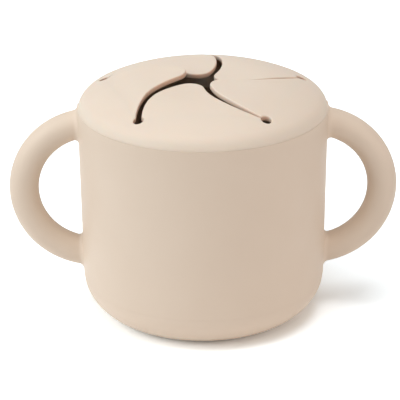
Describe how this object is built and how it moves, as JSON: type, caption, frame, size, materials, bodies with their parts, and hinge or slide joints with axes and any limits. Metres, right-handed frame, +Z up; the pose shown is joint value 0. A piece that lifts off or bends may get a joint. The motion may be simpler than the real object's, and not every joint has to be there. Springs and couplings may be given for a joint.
{
  "type": "toddler snack cup",
  "caption": "Lidded snack cup for toddlers, with ring handles at its sides and a soft domed lid cut into curved pinwheel flaps that a small hand pushes through.",
  "frame": {"origin": "centre of the flat foot, on the table", "axes": "+Z up through the lid, +X through the right handle, -Y to the front flap"},
  "size_m": [0.141, 0.09, 0.0913],
  "materials": {
    "cup": "satin moulded polypropylene, warm beige",
    "lid": "matte moulded silicone, warm beige"
  },
  "bodies": {
    "cup": {"cup": "cup", "left_handle": "cup", "right_handle": "cup"},
    "lid": {"lid": "lid"},
    "flap_front": {"flap_front": "lid"},
    "flap_right": {"flap_right": "lid"},
    "flap_back_right": {"flap_back_right": "lid"},
    "flap_back_left": {"flap_back_left": "lid"},
    "flap_left": {"flap_left": "lid"}
  },
  "joints": [
    {"name": "lid_lift", "type": "slide", "parent": "cup", "child": "lid", "axis": [0, 0, 1], "range_m": [0, 0.03]},
    {"name": "flap_front_bend", "type": "hinge", "parent": "lid", "child": "flap_front", "pos_m": [-0.00053, -0.03033, 0.08446], "axis": [-0.9998, 0.0175, 0], "range_deg": [-35, 65], "stiffness_Nm_per_rad": 0.01},
    {"name": "flap_right_bend", "type": "hinge", "parent": "lid", "child": "flap_right", "pos_m": [0.02868, -0.00988, 0.08446], "axis": [-0.3256, -0.9455, 0], "range_deg": [-35, 65], "stiffness_Nm_per_rad": 0.01},
    {"name": "flap_back_right_bend", "type": "hinge", "parent": "lid", "child": "flap_back_right", "pos_m": [0.01826, 0.02423, 0.08446], "axis": [0.7986, -0.6018, 0], "range_deg": [-35, 65], "stiffness_Nm_per_rad": 0.01},
    {"name": "flap_back_left_bend", "type": "hinge", "parent": "lid", "child": "flap_back_left", "pos_m": [-0.0174, 0.02485, 0.08446], "axis": [0.8192, 0.5736, 0], "range_deg": [-35, 65], "stiffness_Nm_per_rad": 0.01},
    {"name": "flap_left_bend", "type": "hinge", "parent": "lid", "child": "flap_left", "pos_m": [-0.02901, -0.00887, 0.08446], "axis": [-0.2924, 0.9563, 0], "range_deg": [-35, 65], "stiffness_Nm_per_rad": 0.01}
  ]
}
